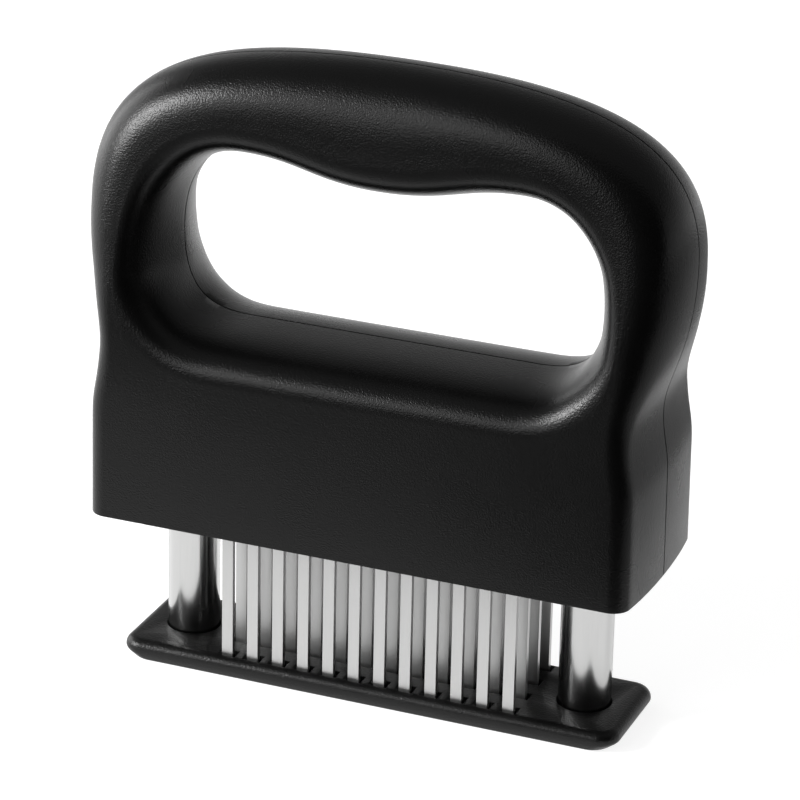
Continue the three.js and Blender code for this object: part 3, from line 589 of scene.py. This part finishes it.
def makeBasePlate():
    s = plateSizes
    clearSelection()
    height = s["thickness"] - s["taperHeight"]
    bpy.ops.mesh.primitive_cube_add(size=1, location=(0, 0, (s["taperHeight"] + height / 2) * mm),
                                    scale=(2 * s["halfLength"] * mm, 2 * s["halfDepth"] * mm, height * mm))
    plate = startPiece("slotted_plate")
    editEdges(plate, lambda a, b: abs(a.z - b.z) > near)
    bpy.ops.mesh.bevel(offset=s["corner"] * mm, segments=s["cornerSteps"], profile=0.5)
    editEdges(plate, lambda a, b: min(a.z, b.z) > s["thickness"] - near)
    bpy.ops.mesh.bevel(offset=s["topRound"] * mm, segments=s["topSteps"], profile=0.5)
    editFaces(plate, lambda middle, normal: normal.z < -facing)
    bpy.ops.mesh.extrude_region_move(TRANSFORM_OT_translate={"value": (0, 0, -s["taperHeight"] * mm)})
    drawnIn = (1 - s["endTaper"] / s["halfLength"], 1 - s["sideTaper"] / s["halfDepth"], 1)
    bpy.ops.transform.resize(value=drawnIn, center_override=(0, 0, 0))
    editEdges(plate, lambda a, b: abs(a.z - b.z) < near and a.z < s["taperHeight"] + near)
    bpy.ops.mesh.bevel(offset=s["taperRound"] * mm, segments=s["taperSteps"], profile=0.5)
    bpy.ops.object.mode_set(mode="OBJECT")
    cutOut(plate, makeSlotCutters())
    for x in (-s["columnX"], s["columnX"]):
        clearSelection()
        socketZ = s["thickness"] - s["socketDepth"] + s["socketCut"] / 2
        bpy.ops.mesh.primitive_cylinder_add(vertices=s["socketSides"], radius=s["socketRadius"] * mm,
                                            depth=s["socketCut"] * mm, location=(x * mm, 0, socketZ * mm))
        cutOut(plate, startPiece("socket_cutter"))
        clearSelection()
        bpy.ops.mesh.primitive_cylinder_add(vertices=s["holeSides"], radius=s["screwHole"] * mm,
                                            depth=s["holeCut"] * mm, location=(x * mm, 0, 0))
        cutOut(plate, startPiece("screw_hole_cutter"))
        clearSelection()
        sinkTop, sinkLow = s["screwSink"], -s["sinkOverrun"]
        bpy.ops.mesh.primitive_cone_add(vertices=s["holeSides"],
                                        radius1=(s["screwMouth"] + s["mouthOverrun"]) * mm,
                                        radius2=s["screwHole"] * mm, depth=(sinkTop - sinkLow) * mm,
                                        location=(x * mm, 0, (sinkTop + sinkLow) / 2 * mm))
        cutOut(plate, startPiece("countersink_cutter"))
    applied(plate, "BEVEL", width=s["mouthRound"] * mm, segments=2, limit_method="ANGLE",
            angle_limit=math.radians(s["roundAngle"]), use_clamp_overlap=True)
    finishPiece(plate, "base", ["base_plate"], platePlastic, 40)


makeBasePlate()

# Columns
columnSizes = {"x": 44, "radius": 5.5, "bore": 4.5, "foot": 2.8, "plugTop": 8.8, "thread": 1.9,
               "collarBottom": 43.5, "collarTop": 46, "collarRadius": 7, "edge": 0.2, "sides": 128}


def makeColumn(name, node, x):
    s = columnSizes
    clearSelection()
    height = s["collarBottom"] - s["foot"]
    bpy.ops.mesh.primitive_cylinder_add(vertices=s["sides"], radius=s["radius"] * mm, depth=height * mm,
                                        location=(x * mm, 0, (s["foot"] + height / 2) * mm))
    column = startPiece(name)
    centre = (x * mm, 0, 0)
    editFaces(column, lambda middle, normal: normal.z < -facing)
    bpy.ops.mesh.inset(thickness=(s["radius"] - s["thread"]) * mm)
    bpy.ops.mesh.delete(type="FACE")
    editFaces(column, lambda middle, normal: normal.z > facing)

    def grow(radiusFrom, radiusTo, rise):
        bpy.ops.mesh.extrude_region_move(TRANSFORM_OT_translate={"value": (0, 0, rise * mm)})
        factor = radiusTo / radiusFrom
        bpy.ops.transform.resize(value=(factor, factor, 1), center_override=centre)

    grow(s["radius"], s["collarRadius"], 0)
    grow(1, 1, s["collarTop"] - s["collarBottom"])
    grow(s["collarRadius"], s["bore"], 0)
    grow(1, 1, s["plugTop"] - s["collarTop"])
    grow(s["bore"], s["thread"], 0)
    grow(1, 1, s["foot"] - s["plugTop"])
    bpy.ops.mesh.delete(type="ONLY_FACE")
    bpy.ops.mesh.select_all(action="SELECT")
    bpy.ops.mesh.remove_doubles(threshold=near * mm)
    bpy.ops.mesh.normals_make_consistent(inside=False)
    bpy.ops.object.mode_set(mode="OBJECT")
    applied(column, "BEVEL", width=s["edge"] * mm, segments=2, limit_method="ANGLE", angle_limit=edgeAngle)
    finishPiece(column, "base", [node], tubeSteel)


makeColumn("left_column", "column_left", -columnSizes["x"])
makeColumn("right_column", "column_right", columnSizes["x"])

# Guide bushes
bushSizes = {"x": 44, "bore": 5.6, "radius": 7.2, "bottom": 36.4, "top": 43.4, "edge": 0.3, "sides": 96}


def makeBush(name, node, x):
    s = bushSizes
    clearSelection()
    height = s["top"] - s["bottom"]
    bpy.ops.mesh.primitive_cylinder_add(vertices=s["sides"], radius=s["radius"] * mm, depth=height * mm,
                                        location=(x * mm, 0, (s["bottom"] + height / 2) * mm))
    bush = startPiece(name)
    editFaces(bush, lambda middle, normal: abs(normal.z) > facing)
    bpy.ops.mesh.inset(thickness=(s["radius"] - s["bore"]) * mm)
    bpy.ops.mesh.bridge_edge_loops()
    bpy.ops.object.mode_set(mode="OBJECT")
    applied(bush, "BEVEL", width=s["edge"] * mm, segments=2, limit_method="ANGLE",
            angle_limit=edgeAngle)
    finishPiece(bush, "handle", [node], bushPlastic)


makeBush("left_bush", "guide_bush_left", -bushSizes["x"])
makeBush("right_bush", "guide_bush_right", bushSizes["x"])

# Return springs
springSizes = {
    "x": 44, "mean": 3.75, "wire": 0.8, "bottom": 9.3, "top": 73.8, "activeCoils": 10, "deadCoils": 1,
    "deadPitch": 1.25, "steps": 24, "sides": 10, "travel": 28,
}


def makeSpring(name, node, x):
    s = springSizes
    clearSelection()
    bpy.ops.mesh.primitive_circle_add(vertices=s["sides"], radius=s["wire"] / 2 * mm, fill_type="NGON",
                                      location=((x + s["mean"]) * mm, 0, s["bottom"] * mm),
                                      rotation=(math.pi / 2, 0, 0))
    spring = startPiece(name)
    bpy.ops.object.mode_set(mode="EDIT")
    bpy.ops.mesh.select_mode(type="FACE")
    bpy.ops.mesh.select_all(action="SELECT")
    coils = s["activeCoils"] + 2 * s["deadCoils"]
    activePitch = (s["top"] - s["bottom"] - 2 * s["deadCoils"] * s["deadPitch"]) / s["activeCoils"]
    for step in range(coils * s["steps"]):
        coil = (step + 0.5) / s["steps"]
        dead = coil < s["deadCoils"] or coil > coils - s["deadCoils"]
        climb = (s["deadPitch"] if dead else activePitch) / s["steps"]
        bpy.ops.mesh.extrude_region_move(TRANSFORM_OT_translate={"value": (0, 0, climb * mm)})
        bpy.ops.transform.rotate(value=-2 * math.pi / s["steps"], orient_axis="Z",
                                 center_override=(x * mm, 0, 0))
    bpy.ops.mesh.select_all(action="SELECT")
    bpy.ops.mesh.normals_make_consistent(inside=False)
    bpy.ops.object.mode_set(mode="OBJECT")
    finishPiece(spring, "base", [node], wireSteel, 60)
    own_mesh(spring)


makeSpring("left_spring", "spring_left", -springSizes["x"])
makeSpring("right_spring", "spring_right", springSizes["x"])

# Screws
screwSizes = {"x": 44, "radius": 1.75, "head": 3.5, "sink": 0.3, "headHeight": 1.6, "length": 7,
              "cross": (0.9, 4.0, 1.0), "edge": 0.1, "edgeAngle": 40, "sides": 64}


def makeScrew(name, node, x):
    s = screwSizes
    clearSelection()
    bpy.ops.mesh.primitive_cone_add(vertices=s["sides"], radius1=s["head"] * mm, radius2=s["radius"] * mm,
                                    depth=s["headHeight"] * mm,
                                    location=(x * mm, 0, (s["sink"] + s["headHeight"] / 2) * mm))
    screw = startPiece(name)
    editFaces(screw, lambda middle, normal: normal.z > facing)
    shank = s["length"] - s["headHeight"]
    bpy.ops.mesh.extrude_region_move(TRANSFORM_OT_translate={"value": (0, 0, shank * mm)})
    bpy.ops.object.mode_set(mode="OBJECT")
    width, span, depth = s["cross"]
    for turn in (0, math.pi / 2):
        clearSelection()
        bpy.ops.mesh.primitive_cube_add(size=1, location=(x * mm, 0, s["sink"] * mm), rotation=(0, 0, turn),
                                        scale=(span * mm, width * mm, 2 * depth * mm))
        cutOut(screw, startPiece("cross_cutter"))
    applied(screw, "BEVEL", width=s["edge"] * mm, segments=2, limit_method="ANGLE",
            angle_limit=math.radians(s["edgeAngle"]))
    finishPiece(screw, "base", [node], zincSteel)


makeScrew("left_screw", "screw_left", -screwSizes["x"])
makeScrew("right_screw", "screw_right", screwSizes["x"])

# Blades and their holder, as they come
for name, node in nodes.items():
    if name.startswith("blade_"):
        node.data.materials.clear()
        node.data.materials.append(holderPlastic if name == "blade_holder" else bladeSteel)
        for face in node.data.polygons:
            face.use_smooth = False
print("blades and holder finished")

# Floor and light
floorSet = {"size": 6.0, "color": "#b4b4b4", "glow": 0.84, "drop": 0.0002, "roughness": 0.9}
lampAim = (0, 0, 0.07)
lampSet = {
    "left": {"place": (-0.95, 0.13, 0.31), "size": (0.8, 0.6), "power": 4.6},
    "front left": {"place": (-0.83, -0.6, 0.50), "size": (0.34, 0.34), "power": 14},
    "front": {"place": (-0.38, -0.94, 0.5), "size": (0.45, 0.5), "power": 2},
}
# Cards beyond the picture's edges, glowing sheets that paint reflections, measured across and along the
# camera's direction over the floor.
cardSet = {
    "near card": {"middle": (-0.38, -0.16, 0.001), "size": (0.64, 0.16), "lean": 0, "glow": 0.55},
    "front card": {"middle": (0.47, -0.52, 0.001), "size": (1.06, 0.86), "lean": 0, "glow": 0.03},
    "far card": {"middle": (-0.63, -0.595, 0.001), "size": (1.14, 0.71), "lean": 0, "glow": 0.2},
    "side card": {"middle": (0.51, 0.14, 0.001), "size": (0.78, 0.46), "lean": 0, "glow": 0.38},
    "room card": {"middle": (0.3, -0.95, 0.75), "size": (3.8, 1.5), "lean": 90, "glow": 0.02},
}
worldSet = {"horizon": 0.75, "zenith": 0.22, "height": 0.55}


def addFloor():
    clearSelection()
    bpy.ops.mesh.primitive_plane_add(size=floorSet["size"], location=(0, 0, -floorSet["drop"]))
    floor = bpy.context.object
    floor.name = "floor"
    material, shader = newMaterial("pale floor")
    shader.inputs["Base Color"].default_value = srgb(floorSet["color"])
    shader.inputs["Roughness"].default_value = floorSet["roughness"]
    shader.inputs["Specular IOR Level"].default_value = 0.0
    # White where it is looked at or mirrored, so that only the object's shadow shows on it.
    path = addNode(material, "ShaderNodeLightPath")
    seen = addNode(material, "ShaderNodeMath", {"operation": "MAXIMUM"}, None,
                   {0: (path, "Is Camera Ray"), 1: (path, "Is Glossy Ray")})
    seenThrough = addNode(material, "ShaderNodeMath", {"operation": "MAXIMUM"}, None,
                          {0: (seen, "Value"), 1: (path, "Is Transmission Ray")})
    glow = addNode(material, "ShaderNodeMath", {"operation": "MULTIPLY"}, {1: floorSet["glow"]},
                   {0: (seenThrough, "Value")})
    shader.inputs["Emission Color"].default_value = (1, 1, 1, 1)
    material.node_tree.links.new(glow.outputs["Value"], shader.inputs["Emission Strength"])
    floor.data.materials.append(material)


def addCard(name, look):
    # A glowing sheet seen only in reflections, a painted reflection which darkens them as a photographer's
    # black card does.
    across, along, height = look["middle"]
    clearSelection()
    bpy.ops.mesh.primitive_plane_add(size=1)
    card = bpy.context.object
    card.name = name
    card.scale = (*look["size"], 1)
    card.rotation_euler = (math.radians(look["lean"]), 0, 0)
    bpy.ops.object.transform_apply(location=True, rotation=True, scale=True)
    card.location = (across, along, height)
    bpy.ops.object.transform_apply(location=True, rotation=True, scale=True)
    card.rotation_euler = (0, 0, math.radians(cameraSet["azimuth"]))
    bpy.ops.object.transform_apply(location=True, rotation=True, scale=True)
    material, shader = newMaterial(name)
    shader.inputs["Base Color"].default_value = (0, 0, 0, 1)
    shader.inputs["Specular IOR Level"].default_value = 0.0
    shader.inputs["Emission Color"].default_value = (1, 1, 1, 1)
    shader.inputs["Emission Strength"].default_value = look["glow"]
    card.data.materials.append(material)
    card.visible_camera = card.visible_diffuse = card.visible_shadow = False


def addLamp(name, place, size, power):
    bpy.ops.object.light_add(type="AREA", location=place)
    lamp = bpy.context.object
    lamp.name = name
    lamp.data.shape = "RECTANGLE"
    lamp.data.size, lamp.data.size_y = size
    lamp.data.energy = power
    aim = Vector(lampAim) - Vector(place)
    lamp.rotation_euler = aim.to_track_quat("-Z", "Y").to_euler()


def addWorld():
    # Pale at the horizon and darker overhead, as in a room with pale walls.
    world = bpy.data.worlds.new("soft studio")
    world.use_nodes = True
    bpy.context.scene.world = world
    tree = world.node_tree
    background = tree.nodes["Background"]
    background.inputs["Color"].default_value = (1, 1, 1, 1)
    direction = tree.nodes.new("ShaderNodeTexCoord")
    parts = tree.nodes.new("ShaderNodeSeparateXYZ")
    level = tree.nodes.new("ShaderNodeMapRange")
    level.interpolation_type = "SMOOTHSTEP"
    level.inputs["From Max"].default_value = worldSet["height"]
    level.inputs["To Min"].default_value = worldSet["horizon"]
    level.inputs["To Max"].default_value = worldSet["zenith"]
    tree.links.new(direction.outputs["Generated"], parts.inputs["Vector"])
    tree.links.new(parts.outputs["Z"], level.inputs["Value"])
    tree.links.new(level.outputs["Result"], background.inputs["Strength"])


addFloor()
for cardName, card in cardSet.items():
    addCard(cardName, card)
for lampName, lamp in lampSet.items():
    addLamp(lampName, lamp["place"], lamp["size"], lamp["power"])
addWorld()
bpy.context.scene.view_settings.view_transform = "Standard"
print("floor and light set")
